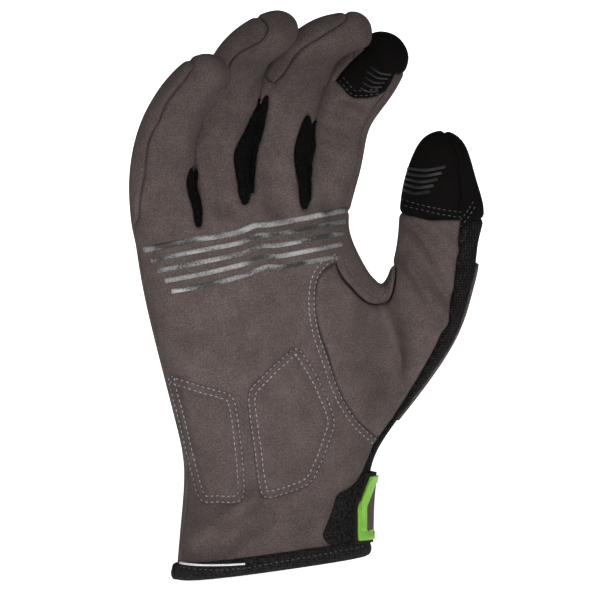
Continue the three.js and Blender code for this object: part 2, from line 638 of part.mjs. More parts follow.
// The rolled binding has a U-shaped section that holds the rim of the panels
function bindingGeometry() {
  const outer = seamGap + bindingThickness;
  const inner = -wall - seamGap - bindingThickness;
  const top = bindingHeight - outer;
  const section = [
    [outer, top - bindingThickness / 2], [seamGap, top], [seamGap, -seamGap],
    [-wall - seamGap, -seamGap], [-wall - seamGap, top], [inner, top],
    [inner, -seamGap], [inner + bindingThickness / 2, -outer], [outer - bindingThickness / 2, -outer],
    [outer, -seamGap],
  ];
  const rim = new Map(openEdges(finer.faces.flatMap(({ corners: [a, b, c, d] }) => [[a, b, c], [a, c, d]])));
  const loop = [[...rim.keys()][0]];
  while (rim.get(loop[loop.length - 1]) !== loop[0]) loop.push(rim.get(loop[loop.length - 1]));
  const positions = loop.flatMap((i, k) => {
    const before = skinPoints[loop[(k + loop.length - 1) % loop.length]];
    const along = skinPoints[loop[(k + 1) % loop.length]].clone().sub(before).normalize();
    const rise = skinNormals[i].clone().cross(along).normalize();
    return section.flatMap(([out, height]) => skinPoints[i].clone()
      .addScaledVector(skinNormals[i], out).addScaledVector(rise, height + seamGap / 2).toArray());
  });
  const n = section.length;
  const faces = loop.flatMap((_, k) => section.flatMap((__, j) => {
    const next = (k + 1) % loop.length;
    const [a, b] = [k * n + j, k * n + (j + 1) % n];
    const [c, d] = [next * n + (j + 1) % n, next * n + j];
    return [a, c, b, a, d, c];
  }));
  const geometry = new THREE.BufferGeometry();
  geometry.setAttribute('position', new THREE.Float32BufferAttribute(positions, 3));
  geometry.setIndex(faces);
  geometry.computeVertexNormals();
  return geometry;
}
addPiece('cuff_binding', bindingGeometry(), pile);

// The wrist tab comes round the radial side from the back and ends on the loop patch
const faceOf = (place) => place.dot(palmFront);
const tabSlant = (z) => tabEnd.slant * Math.max(0, z - up(tabEnd.slantFrom));
const tabFront = ({ x, z }) => x - across(tabEnd.across) - tabSlant(z);
const tabBack = (place) => place.x - across(tabEnd.backAcross);
const tabRise = (place) => place.z - up(tabEnd.low);
const tabDrop = (place) => up(tabEnd.high) - place.z;
const tabWide = across(1);
const tabEdge = (place) => {
  const side = faceOf(place) > 0 ? tabFront(place) : tabWide;
  return Math.min(side, tabRise(place), tabDrop(place));
};
const tabLift = (place) => {
  const share = Math.min(1, Math.max(0, 1 + faceOf(place) / (palmDepth / 2)));
  return seamGap + share * (pileThickness + seamGap);
};
let tabRegion = patchOf('palm', 'thumb_gusset', 'back_panel')
  .filter((t) => t[0].place.z < up(tabEnd.high) + palmDepth);
tabRegion = cut(tabRegion, tabRise, fineSnap);
tabRegion = cut(tabRegion, tabDrop, fineSnap);
tabRegion = cut(tabRegion, (place) => (faceOf(place) > 0 ? tabFront(place) : tabBack(place)), fineSnap);
addPiece('closure_tab', solidOf(tabRegion, tabLift, (p) => tabLift(p) + tabThickness, 0), blackSuede);
const onTab = (name, from, to, thickness, finish) => {
  let region = tabRegion.filter((t) => t.every(({ place }) => faceOf(place) > -palmDepth / 2));
  region = cut(region, (place) => tabEdge(place) - from, fineSnap);
  region = cut(region, (place) => to - tabEdge(place), fineSnap);
  const low = (place) => tabLift(place) + tabThickness + seamGap;
  addPiece(name, solidOf(region, low, (place) => low(place) + thickness), finish);
};
onTab('tab_trim', tabEnd.border, tabEnd.border + trimWidth, trimThickness, lime);
onTab('tab_inlay', tabEnd.border + trimWidth, tabWide, inlayThickness, suede);

export default glove;
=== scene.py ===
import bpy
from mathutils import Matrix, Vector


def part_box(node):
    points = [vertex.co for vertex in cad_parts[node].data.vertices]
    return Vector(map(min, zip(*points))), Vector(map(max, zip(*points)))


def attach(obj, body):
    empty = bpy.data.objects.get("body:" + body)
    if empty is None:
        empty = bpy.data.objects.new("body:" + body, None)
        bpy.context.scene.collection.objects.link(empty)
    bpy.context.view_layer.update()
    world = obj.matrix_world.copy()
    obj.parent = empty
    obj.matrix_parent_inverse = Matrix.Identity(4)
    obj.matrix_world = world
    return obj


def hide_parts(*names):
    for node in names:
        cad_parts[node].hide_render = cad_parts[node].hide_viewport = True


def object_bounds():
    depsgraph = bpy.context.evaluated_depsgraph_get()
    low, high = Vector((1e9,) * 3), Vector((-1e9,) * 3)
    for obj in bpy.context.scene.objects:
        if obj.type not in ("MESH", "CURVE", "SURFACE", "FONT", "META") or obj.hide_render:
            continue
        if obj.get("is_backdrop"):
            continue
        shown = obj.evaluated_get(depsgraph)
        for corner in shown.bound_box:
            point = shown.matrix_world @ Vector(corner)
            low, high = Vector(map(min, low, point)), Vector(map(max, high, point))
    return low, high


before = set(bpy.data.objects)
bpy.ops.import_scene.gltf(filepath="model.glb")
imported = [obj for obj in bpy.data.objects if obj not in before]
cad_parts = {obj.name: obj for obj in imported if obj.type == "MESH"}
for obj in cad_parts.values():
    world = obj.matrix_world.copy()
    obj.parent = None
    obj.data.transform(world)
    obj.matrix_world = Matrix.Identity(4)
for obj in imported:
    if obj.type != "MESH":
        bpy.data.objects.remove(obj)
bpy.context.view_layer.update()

import math

import bmesh
import bpy
import numpy as np
from mathutils import Matrix, Vector
from mathutils.bvhtree import BVHTree
from mathutils.kdtree import KDTree

# Sizes in metres, as in the solids
palmLength = 0.153
palmWidth = 0.096
palmDepth = 0.033
palmTurn = math.radians(24)
cuffTilt = math.tan(math.radians(6.5))
wall = 0.0014
fineLevels = 4           # subdivision of the skin, about 0.7 mm between points
mm = 0.001

fingers = {              # length, width, across and up of the root
    "little": (0.080, 0.027, -0.468, 0.957),
    "ring": (0.098, 0.0265, -0.221, 0.976),
    "middle": (0.101, 0.026, 0.022, 1.004),
    "index": (0.084, 0.026, 0.256, 0.999),
}
thumbLength = 0.100
thumbWidth = 0.032

# Sections of the palm: up, across, wide, deep
palmSections = [
    (0.012, 0.003, 0.885, 1.4), (0.133, 0.009, 0.863, 1.36), (0.288, 0.033, 0.86, 1.3),
    (0.376, 0.06, 1.0, 1.27), (0.561, 0.049, 1.15, 1.22), (0.775, -0.046, 1.13, 1.12),
    (0.907, -0.121, 1.02, 1.02),
]
rootSection = (0, -0.139, 1.03, 0.94)
rootRises = [            # side, rise on the palm, rise on the back
    (-0.93, 1.0, 0.96), (-0.72, 0.99, 0.98), (-0.45, 0.918, 0.99), (-0.2, 0.99, 1.0),
    (0.02, 0.99, 1.01), (0.28, 1.0, 1.02), (0.55, 0.98, 1.02), (0.75, 1.0, 1.01), (0.95, 1.0, 0.99),
]
webRises = (1.04, 1.08, 1.07)

# Sections of the digits: up, side, reach, wide, deep, turn
digitSections = {
    "little": [
        (0.22, -0.02, 0.01, 1.06, 0.86, 28), (0.43, 0.01, 0.1, 0.98, 0.78, 30),
        (0.55, 0.065, 0.19, 0.93, 0.76, 34), (0.66, 0.14, 0.28, 0.88, 0.74, 38),
        (0.73, 0.22, 0.36, 0.84, 0.72, 40), (0.77, 0.285, 0.42, 0.66, 0.58, 40),
    ],
    "ring": [
        (0.21, -0.02, 0.01, 1.0, 0.84, 26), (0.42, 0.018, 0.04, 1.08, 0.8, 34),
        (0.59, 0.052, 0.115, 1.15, 0.78, 44), (0.69, 0.106, 0.2, 1.06, 0.78, 54),
        (0.75, 0.21, 0.28, 0.86, 0.76, 60), (0.785, 0.29, 0.34, 0.66, 0.6, 62),
    ],
    "middle": [
        (0.19, 0.0, 0.01, 1.0, 0.84, 24), (0.39, 0.028, 0.04, 1.13, 0.82, 30),
        (0.52, 0.067, 0.09, 1.24, 0.8, 36), (0.625, 0.13, 0.168, 1.19, 0.78, 44),
        (0.695, 0.225, 0.28, 0.92, 0.76, 50), (0.715, 0.36, 0.35, 0.74, 0.62, 50),
    ],
    "index": [
        (0.21, 0.01, 0.01, 1.02, 0.84, 16), (0.41, 0.028, 0.04, 1.03, 0.82, 10),
        (0.54, 0.09, 0.09, 1.05, 0.8, 8), (0.66, 0.186, 0.15, 1.06, 0.78, 7),
        (0.76, 0.27, 0.22, 0.88, 0.76, 7), (0.81, 0.315, 0.27, 0.68, 0.6, 7),
    ],
    "thumb": [
        (0.22, 0.16, 0.05, 1.22, 1.08, -11), (0.47, 0.205, 0.09, 1.0, 0.88, -18),
        (0.645, 0.214, 0.11, 1.04, 0.82, -20), (0.76, 0.22, 0.13, 0.98, 0.8, -20),
        (0.87, 0.23, 0.15, 0.82, 0.74, -20), (0.965, 0.235, 0.17, 0.56, 0.54, -20),
    ],
}
columnAngles = [-54, 0, 54, 97, 140, 180, 220, 263]
tipBulge = 0.2
cageGrowth = 1.109
sideShares = [-0.94, -0.72, -0.47, -0.235, 0, 0.235, 0.47, 0.72, 0.94]
roundness = 2.5

# Curves seen from the palm side, as shares of palmWidth and palmLength
thumbSeam = [
    (0.5, 0.33), (0.463, 0.362), (0.379, 0.412), (0.309, 0.484), (0.256, 0.575), (0.212, 0.658),
    (0.196, 0.733), (0.207, 0.794), (0.243, 0.83), (0.291, 0.847), (0.309, 0.813), (0.366, 0.772),
    (0.432, 0.736), (0.494, 0.733), (0.525, 0.764), (0.538, 0.824),
]
thumbSide = [(0.5, 0.95), (0.52, 1.4), (1.4, 1.4), (1.4, 0.2)]
ulnarPad = [
    (-0.45, 0.526), (-0.397, 0.526), (-0.291, 0.506), (-0.194, 0.488), (-0.159, 0.465),
    (-0.137, 0.382), (-0.119, 0.271), (-0.119, 0.21), (-0.15, 0.191), (-0.229, 0.19),
    (-0.309, 0.196), (-0.353, 0.271), (-0.406, 0.409),
]
thenarPad = [
    (0.106, 0.609), (0.035, 0.578), (-0.044, 0.531), (-0.097, 0.49), (-0.097, 0.432),
    (-0.075, 0.332), (-0.053, 0.232), (-0.026, 0.203), (0.049, 0.21), (0.163, 0.238),
    (0.212, 0.288), (0.256, 0.36), (0.273, 0.415), (0.22, 0.504), (0.159, 0.573),
]
loopPatch = [
    (0.425, 0.262), (0.375, 0.237), (0.35, 0.224), (0.304, 0.21), (0.285, 0.198), (0.262, 0.152),
    (0.229, 0.105), (0.227, 0.093), (0.25, 0.075), (0.285, 0.066), (0.36, 0.07), (0.43, 0.085), (0.44, 0.16),
]
gussetEdge = [
    (0.812, 0.756), (0.772, 0.647), (0.697, 0.564), (0.613, 0.467), (0.503, 0.382), (0.45, 0.332),
    (0.392, 0.243), (0.366, 0.188), (0.366, 0.1), (0.66, 0.1), (1.1, 0.5), (1.1, 0.756),
]
thumbTipEdge = [(0.565, 0.997), (0.62, 0.985), (0.7, 0.972), (0.78, 0.963), (0.825, 0.96)]
indexTipArc = [(0.25, 1.36), (0.29, 1.337), (0.344, 1.3), (0.397, 1.295), (0.463, 1.3), (0.55, 1.33)]
indexTipSide = [(0.55, 1.1), (0.05, 1.1), (0.05, 1.36)]
palmStripes = (
    [(-0.551, 0.877), (-0.362, 0.902), (-0.163, 0.924), (-0.071, 0.946), (-0.009, 0.949),
     (0.137, 0.966), (0.331, 0.993)],
    [(-0.432, 0.765), (-0.265, 0.784), (-0.11, 0.811), (-0.026, 0.831), (0.057, 0.833),
     (0.168, 0.847), (0.3, 0.863)],
)
indexLines = (
    [(0.428, 1.383), (0.472, 1.364), (0.52, 1.36)],
    [(0.388, 1.325), (0.425, 1.314), (0.467, 1.317)],
)
thumbLines = (
    [(0.6, 1.107), (0.68, 1.1), (0.763, 1.109)],
    [(0.58, 1.049), (0.63, 1.036), (0.692, 1.04)],
)

# Dents and ridges of the cloth: from and to as shares, depth (a ridge is negative) and reach in mm
folds = [
    (-0.27, 1.14, -0.19, 1, 3.38, 8.3), (-0.08, 1.14, 0.07, 0.97, 3.71, 8.3),
    (0.16, 1.12, 0.31, 0.98, 3.71, 9.2), (0.45, 0.66, 0.52, 0.5, 3.38, 12.9),
    (-0.28, 0.05, -0.03, 0.16, 3.38, 7.4), (-0.33, 0.09, -0.08, 0.2, -2.36, 6.4),
    (0.58, 0.92, 0.77, 0.75, 3.71, 5.5), (0.62, 0.84, 0.77, 0.68, -3.04, 5.5),
    (0.66, 0.97, 0.8, 0.88, -2.7, 5.1), (0.2, 1.2, 0.3, 1.18, 2.7, 4.6),
    (0.3, 1.27, 0.38, 1.25, 2.7, 4.6), (0.24, 1.24, 0.35, 1.215, -1.17, 4.1),
    (-0.34, 1.17, -0.25, 1.05, -2.03, 6.4), (-0.14, 1.2, -0.04, 1.05, -2.03, 6.4),
    (0.09, 1.18, 0.2, 1.04, -1.86, 6.4), (-0.42, 1.24, -0.33, 1.2, 1.69, 6.4),
    (-0.44, 1.35, -0.36, 1.33, 1.17, 5.5), (-0.2, 1.28, -0.1, 1.22, 2.03, 6.4),
    (-0.12, 1.36, -0.03, 1.33, 1.35, 5.5), (0.02, 1.3, 0.12, 1.27, 1.52, 6.4),
    (-0.5, 1.05, -0.4, 1.09, 1.52, 7.4), (0.1, 0.72, 0.16, 0.5, 1.52, 12),
    (-0.45, 0.75, -0.2, 0.66, 1.52, 13.8), (0.3, 0.62, 0.42, 0.66, -1.52, 9.2),
    (0.35, 0.55, 0.46, 0.57, 1.69, 7.4), (-0.4, 0.14, -0.32, 0.3, 1.52, 7.4),
    (0.16, 0.08, 0.22, 0.2, 1.69, 7.4), (-0.02, 0.56, 0, 0.7, -1.01, 8.3),
    (0.62, 0.5, 0.7, 0.64, 1.35, 7.4), (-0.35, 0.6, -0.1, 0.56, -1.01, 8.3),
]

# Soft pulls of the skin in mm: place x and z, reach in x and z, move in x and z
warps = [(45.5, 117, 5, 7, 0, 2.6), (87, 150, 5.5, 13, 3.6, 0), (86, 128, 5, 10, 1.4, 0)]

palmAcross = Vector((math.cos(palmTurn), math.sin(palmTurn), 0))
palmFront = Vector((math.sin(palmTurn), -math.cos(palmTurn), 0))


def frontShare(side):
    return (1 - abs(side) ** roundness) ** (1 / roundness)


def palmPlace(section, side, face, rise):
    up, across, wide, deep = section
    aside = across * palmWidth / palmAcross.x + side * wide * palmWidth / 2
    return Vector((0, 0, rise)) + palmAcross * aside + palmFront * (face * deep * palmDepth / 2)


def setRing(bm, places):
    ring = bmesh.ops.create_circle(bm, segments=len(places), radius=palmWidth)["verts"]
    for vert, place in zip(ring, places):
        vert.co = place
    return ring


def palmRing(bm, section, lean):
    def place(side, face):
        point = palmPlace(section, side, face, section[0] * palmLength)
        point.z += cuffTilt * lean * point.x
        return point
    places = [place(s, frontShare(s)) for s in sideShares] + [place(1, 0)]
    places += [place(s, -frontShare(s)) for s in reversed(sideShares)] + [place(-0.99, -0.25)]
    return setRing(bm, places)


def rootRing(bm):
    def place(row, face, rise):
        return palmPlace(rootSection, row[0], face, rise * palmLength)
    places = [place(r, frontShare(r[0]), r[1]) for r in rootRises]
    places += [palmPlace(rootSection, 1, 0, 0.96 * palmLength)]
    places += [place(r, -frontShare(r[0]), r[2]) for r in reversed(rootRises)]
    places += [palmPlace(rootSection, -1, -0.1, 0.9 * palmLength)]
    webs = [bm.verts.new(palmPlace(rootSection, rootRises[2 * i + 2][0], 0, rise * palmLength))
            for i, rise in enumerate(webRises)]
    return setRing(bm, places), webs


def digitRings(bm, base, length, width, sections):
    centres = [base] + [base + Vector((s[1], -s[2], s[0])) * length for s in sections]
    rings = []
    for i, (up, side, reach, wide, deep, turn) in enumerate(sections):
        along = (centres[min(i + 2, len(sections))] - centres[i]).normalized()
        front = Vector((math.sin(math.radians(turn)), -math.cos(math.radians(turn)), 0))
        front = (front - along * front.dot(along)).normalized()
        right = along.cross(front)
        places = []
        for angle in columnAngles:
            a = math.radians(angle)
            places.append(centres[i + 1] + front * (math.cos(a) * deep * width * cageGrowth / 2)
                          + right * (math.sin(a) * wide * width * cageGrowth / 2))
        rings.append(setRing(bm, places))
    end = (centres[-1] - centres[-2]).normalized()
    return rings, bm.verts.new(centres[-1] + end * tipBulge * width)


panels = ["palm_panel", "thumb_panel", "back_panel", "fourchette_little_ring", "fourchette_ring_middle",
          "fourchette_middle_index", "thumb_gusset", "thumb_tip", "thumb_tip_back", "index_tip",
          "ulnar_heel_pad", "thenar_heel_pad"]
panelOf = {name: i for i, name in enumerate(panels)}
shortWalls = panels[3:6]
fingerBacks = [name + "_back" for name in fingers]
digitOf = []             # digit of each face of the cage


# The cage of quads: rings of the palm, then rings of each digit that stand on its loops
def makeCage():
    bm = bmesh.new()

    def face(name, *corners, digit="hand"):
        bm.faces.new(corners).material_index = panelOf[name]
        digitOf.append(digit)

    rings = [palmRing(bm, s, max(0, 1 - i / 3)) for i, s in enumerate(palmSections)]
    roots, webs = rootRing(bm)
    rings.append(roots)
    for i in range(len(rings) - 1):
        low, high = rings[i], rings[i + 1]
        for j in range(20):
            k = (j + 1) % 20
            if j in (8, 9) and 3 <= i < 5:
                continue
            name = "palm_panel" if j < 8 or j == 19 else "back_panel"
            if j in (8, 9) and i < 3:
                name = "thumb_gusset"
            if j == 8 and i >= 5:
                name = "palm_panel"
            face(name, low[j], low[k], high[k], high[j])

    def digit(loop, made, name, who):
        loops, tip = [loop] + made[0], made[1]
        for i in range(len(loops) - 1):
            for j in range(8):
                k = (j + 1) % 8
                face(name(i, j), loops[i][j], loops[i][k], loops[i + 1][k], loops[i + 1][j], digit=who)
        for j in range(0, 8, 2):
            end = loops[-1]
            face(name(len(loops) - 1, j), end[j], end[j + 1], end[(j + 2) % 8], tip, digit=who)

    for f, (name, (length, width, across, up)) in enumerate(fingers.items()):
        start = 2 * f
        right = webs[f] if f < 3 else roots[9]
        left = webs[f - 1] if f > 0 else roots[19]
        loop = [roots[start], roots[start + 1], roots[start + 2], right,
                roots[16 - start], roots[17 - start], roots[18 - start], left]
        x = across * palmWidth
        base = Vector((x, x * math.tan(palmTurn), up * palmLength))

        def fingerPanel(i, j, f=f):
            if f == 3 and ((j < 2 and i >= 3) or i >= 5):
                return "index_tip"
            if j < 2 or i >= 5:
                return "palm_panel"
            if i < 3 and f < 3 and j in (2, 3):
                return shortWalls[f]
            if i < 3 and f > 0 and j in (6, 7):
                return shortWalls[f - 1]
            return "back_panel"
        digit(loop, digitRings(bm, base, length, width, digitSections[name]), fingerPanel, name)

    lower, centre, upper = rings[3], rings[4], rings[5]
    loop = [upper[8], centre[8], lower[8], lower[9], lower[10], centre[10], upper[10], upper[9]]
    section = palmSections[4]
    base = palmPlace(section, 0.86, 0.1, section[0] * palmLength)

    def thumbPanel(i, j):
        front = j < 2 or j > 5
        if i >= 3:
            return "thumb_tip" if front or i >= 5 else "thumb_tip_back"
        return "palm_panel" if front else "thumb_gusset"
    digit(loop, digitRings(bm, base, thumbLength, thumbWidth, digitSections["thumb"]), thumbPanel, "thumb")
    bmesh.ops.recalc_face_normals(bm, faces=bm.faces)
    mesh = bpy.data.meshes.new("cage")
    bm.to_mesh(mesh)
    bm.free()
    for _ in panels:
        mesh.materials.append(bpy.data.materials.new("slotHolder"))
    return mesh


# A smooth curve through the named points, as an array of x and z
def smoothCurve(shares, closed=False, steps=12):
    p = np.array(shares, float) * (palmWidth, palmLength)
    n = len(p)
    out = []
    spans = n if closed else n - 1
    for i in range(spans):
        idx = [(i + k) % n if closed else min(max(i + k, 0), n - 1) for k in (-1, 0, 1, 2)]
        a, b, c, d = p[idx]
        t = np.linspace(0, 1, steps, endpoint=False)[:, None]
        out.append(0.5 * (2 * b + (c - a) * t + (2 * a - 5 * b + 4 * c - d) * t ** 2
                          + (3 * b - a - 3 * c + d) * t ** 3))
    if not closed:
        out.append(p[-1:])
    return np.concatenate(out)


# Distance inside a closed line seen from the palm side, negative outside, with the way to the line
def insideLine(x, z, line):
    best = np.full(len(x), 1e9)
    inside = np.zeros(len(x), bool)
    wayX = np.zeros(len(x))
    wayZ = np.zeros(len(x))
    for a, b in zip(line, np.roll(line, -1, 0)):
        dx, dz = b - a
        length = dx * dx + dz * dz + 1e-18
        t = np.clip(((x - a[0]) * dx + (z - a[1]) * dz) / length, 0, 1)
        toX, toZ = a[0] + t * dx - x, a[1] + t * dz - z
        away = np.hypot(toX, toZ)
        near = away < best
        best[near], wayX[near], wayZ[near] = away[near], toX[near], toZ[near]
        crosses = (a[1] > z) != (b[1] > z)
        if dz != 0:
            inside ^= crosses & (x < a[0] + (z - a[1]) * dx / dz)
    return np.where(inside, best, -best), wayX, wayZ


def distanceToPath(x, z, line):
    best = np.full(len(x), 1e9)
    for a, b in zip(line[:-1], line[1:]):
        dx, dz = b - a
        t = np.clip(((x - a[0]) * dx + (z - a[1]) * dz) / (dx * dx + dz * dz + 1e-18), 0, 1)
        best = np.minimum(best, np.hypot(a[0] + t * dx - x, a[1] + t * dz - z))
    return best


def newObject(name, mesh):
    obj = bpy.data.objects.new(name, mesh)
    bpy.context.scene.collection.objects.link(obj)
    return obj


def evaluated(obj):
    graph = bpy.context.evaluated_depsgraph_get()
    return bpy.data.meshes.new_from_object(obj.evaluated_get(graph))


def pointArray(mesh):
    flat = np.empty(len(mesh.vertices) * 3)
    mesh.vertices.foreach_get("co", flat)
    return flat.reshape(-1, 3)


def normalArray(mesh):
    flat = np.empty(len(mesh.vertices) * 3)
    mesh.vertex_normals.foreach_get("vector", flat)
    return flat.reshape(-1, 3)


def setPoints(mesh, points):
    mesh.vertices.foreach_set("co", np.ascontiguousarray(points).ravel())
    mesh.update()


cage = newObject("cage", makeCage())
subsurf = cage.modifiers.new("Smooth", "SUBSURF")
subsurf.levels = subsurf.render_levels = fineLevels
skin = evaluated(cage)
bpy.data.objects.remove(cage)
print("skin made:", len(skin.polygons), "faces")

points = pointArray(skin)
normals = normalArray(skin)
facing = np.clip(-normals[:, 1], 0, 1)
dent = np.zeros(len(points))
for fromX, fromZ, toX, toZ, deep, reach in folds:
    line = np.array([(fromX * palmWidth, fromZ * palmLength), (toX * palmWidth, toZ * palmLength)])
    away = distanceToPath(points[:, 0], points[:, 2], line) / (reach * mm)
    dent += np.where(away < 1, deep * mm * (1 - away ** 2) ** 2, 0) * facing
points = points - normals * dent[:, None]
for x, z, reachX, reachZ, moveX, moveZ in warps:
    asideX = (points[:, 0] - x * mm) / (reachX * mm)
    asideZ = (points[:, 2] - z * mm) / (reachZ * mm)
    share = np.exp(-asideX ** 2 - asideZ ** 2)
    points += share[:, None] * np.array((moveX, 0, moveZ)) * mm
setPoints(skin, points)

# Panel of each face, then the points between panels are drawn onto the seam
faceCount = len(skin.polygons)
label = np.empty(faceCount, int)
skin.polygons.foreach_get("material_index", label)
corners = np.empty(faceCount * 4, int)
skin.polygons.foreach_get("vertices", corners)
corners = corners.reshape(-1, 4)
middle = points[corners].mean(1)
faceNormals = normals[corners].mean(1)
faceDigit = np.repeat(digitOf, 4 ** fineLevels)
firstSkin = BVHTree.FromPolygons([Vector(p) for p in points], corners.tolist())


# Faces that show from the palm side: nothing lies before them
def seenFaces(candidates):
    seen = np.zeros(faceCount, bool)
    for f in candidates:
        x, y, z = middle[f]
        hit = firstSkin.ray_cast(Vector((x, -0.2, z)), Vector((0, 1, 0)))
        seen[f] = hit[0] is not None and abs(hit[0].y - y) < 0.0007
    return seen


# Gives the faces of some panels within a line to another panel, and draws their edge onto the line
def divide(source, target, line, frontOnly=True, digits=None, among=None, outside=False):
    field, _, _ = insideLine(middle[:, 0], middle[:, 2], line)
    choice = np.isin(label, [panelOf[s] for s in source])
    if among is not None:
        choice &= among
    elif frontOnly:
        choice &= faceNormals[:, 1] < 0.1
    if digits:
        choice &= np.isin(faceDigit, digits)
    chosen = choice & ((field < 0) if outside else (field > 0))
    label[chosen] = panelOf[target]
    inNew = np.zeros(len(points), bool)
    inOld = np.zeros(len(points), bool)
    inNew[corners[chosen].ravel()] = True
    inOld[corners[choice & ~chosen].ravel()] = True
    edge = np.flatnonzero(inNew & inOld)
    for _ in range(2):
        away, wayX, wayZ = insideLine(points[edge, 0], points[edge, 2], line)
        way = np.stack([wayX, np.zeros(len(edge)), wayZ], 1)
        length = np.linalg.norm(way, axis=1, keepdims=True)
        way *= np.minimum(1, 0.6 * mm / np.maximum(length, 1e-9)) * (length < 1.5 * mm)
        along = normals[edge]
        slide = way - along * (way * along).sum(1, keepdims=True)
        gain = (way ** 2).sum(1, keepdims=True) / np.maximum((slide * way).sum(1, keepdims=True), 1e-12)
        points[edge] += slide * np.minimum(gain, 1.4)


# Outlines read off the front view: x to the right and y down, with the cuff's centre at viewZero
viewStep = 0.4233 * mm
viewZero = (272, 568)
rolledSeams = {
    "little": ([(118, 232), (168, 232), (180, 160), (232, 90), (226, 48), (160, 48), (100, 100)],
               [(138, 230), (142, 201), (148, 180), (149, 160), (152, 144), (162, 127), (172, 107),
                (181, 95), (190, 84), (196, 74), (193, 67), (184, 65), (160, 60), (120, 90),
                (105, 160), (118, 232)]),
    "ring": ([(190, 150), (246, 120), (262, 70), (300, 60), (310, 10), (250, -5), (200, 30)],
             [(230, 72), (238, 61), (260, 50), (268, 38), (265, 29), (257, 22), (245, 5), (215, 15),
              (195, 50), (205, 90), (225, 90)]),
    "middle": ([(225, 170), (262, 165), (275, 110), (345, 60), (370, 10), (320, -5), (260, 30)],
               [(250, 160), (262, 120), (270, 92), (284, 78), (297, 58), (320, 43), (340, 30), (345, 21),
                (338, 13), (318, 16), (300, -5), (255, 40), (235, 100), (238, 150)]),
}
thumbSideSeam = [(440, 124), (447, 133), (453, 143), (458, 157), (460.5, 172), (460.5, 190), (459.5, 225),
                 (500, 225), (500, 110), (440, 110)]
thumbBackTip = [(458, 216), (460, 232), (478, 212), (478, 200), (458, 200)]
thumbBackRows = ([(461, 226), (468, 217), (474, 208)], [(461, 219), (467, 211), (472, 203)])
indexSide = [(296, 30), (296, 140), (334, 135), (352, 90), (352, 30)]
wallShapes = {
    "fourchette_little_ring": [
        (190, 184), (193, 173), (196, 170), (197.5, 176), (196.5, 186), (200, 200), (203, 214), (204, 224),
        (201, 228), (198, 224), (196, 210), (192, 196)],
    "fourchette_ring_middle": [
        (236.5, 155), (246, 135), (256, 113), (265, 98), (269, 101), (265, 122), (258, 150), (254, 175),
        (252, 198), (247, 205), (241, 201), (238, 178)],
    "fourchette_middle_index": [
        (296, 152), (300, 135), (307, 118), (313, 120), (315, 140), (313, 160), (311, 185), (310, 204),
        (306, 209), (302, 205), (300, 185), (297, 168)],
}


# Points of the front view as shares of the palm's width and length
def viewShares(spots):
    return [((x - viewZero[0]) * viewStep / palmWidth, (viewZero[1] - y) * viewStep / palmLength)
            for x, y in spots]


def pixelLine(spots, smooth=False):
    shares = viewShares(spots)
    return smoothCurve(shares, closed=True) if smooth else np.array(shares) * (palmWidth, palmLength)


def pixelPath(spots):
    return smoothCurve(viewShares(spots))


thumbLine = np.concatenate([smoothCurve(thumbSeam[:10]), smoothCurve(thumbSeam[9:]),
                            np.array(thumbSide) * (palmWidth, palmLength)])
gussetLine = np.array(gussetEdge) * (palmWidth, palmLength)
tipLine = np.concatenate([smoothCurve(indexTipArc), np.array(indexTipSide) * (palmWidth, palmLength)])
ulnarLine = smoothCurve(ulnarPad, closed=True)
thenarLine = smoothCurve(thenarPad, closed=True)
divide(["palm_panel"], "thumb_panel", thumbLine, frontOnly=False)
divide(["index_tip"], "palm_panel", tipLine, frontOnly=False, digits=["index"])
divide(["back_panel"], "palm_panel", pixelLine(indexSide), digits=["index"])
divide(["thumb_tip"], "thumb_tip_back", pixelLine(thumbSideSeam), frontOnly=False, digits=["thumb"])
divide(["thumb_gusset"], "thumb_tip_back", pixelLine(thumbBackTip), frontOnly=False, digits=["thumb"])
for who, (wide, seam) in rolledSeams.items():
    divide(["back_panel"], "palm_panel", pixelLine(wide), digits=[who])
    divide(["palm_panel"], "back_panel", pixelLine(seam, smooth=True), digits=[who])
for name, outline in wallShapes.items():
    line = pixelLine(outline, smooth=True)
    low, high = line.min(0) - 0.006, line.max(0) + 0.006
    near = np.flatnonzero(((middle[:, [0, 2]] > low) & (middle[:, [0, 2]] < high)).all(1))
    seen = seenFaces(near)
    above = middle[:, 2] > line[:, 1].max() - 0.0015
    shown = seenFaces(np.flatnonzero(label == panelOf[name])) | above
    divide([name], "palm_panel", line, among=shown, outside=True)
    divide(["palm_panel", "back_panel"], name, line, among=seen)
divide(["palm_panel", "thumb_panel"], "thumb_gusset", gussetLine, frontOnly=False)
divide(["palm_panel"], "ulnar_heel_pad", ulnarLine)
divide(["palm_panel"], "thenar_heel_pad", thenarLine)
setPoints(skin, points)
print("panels divided")

# Seams are valleys between the panels; the pads swell between their rows of stitches
edgePairs = {}
for corner in range(4):
    a, b = corners[:, corner], corners[:, (corner + 1) % 4]
    for f, key in enumerate(zip(np.minimum(a, b).tolist(), np.maximum(a, b).tolist())):
        edgePairs.setdefault(key, []).append(f)
padLabels = {panelOf["ulnar_heel_pad"], panelOf["thenar_heel_pad"]}
seamPoints = set()
for (a, b), ends in edgePairs.items():
    if len(ends) == 2 and label[ends[0]] != label[ends[1]]:
        if not ({int(label[ends[0]]), int(label[ends[1]])} & padLabels):
            seamPoints.update((a, b))
tree = KDTree(len(seamPoints))
for i in seamPoints:
    tree.insert(points[i], i)
tree.balance()
seamAway = np.array([tree.find(p)[2] for p in points])
normals = normalArray(skin)
seamDeep = 1.1 * mm
seamReach = 2.2 * mm
valley = np.where(seamAway < seamReach, (1 - seamAway / seamReach) ** 2, 0) * seamDeep
swell = np.zeros(len(points))
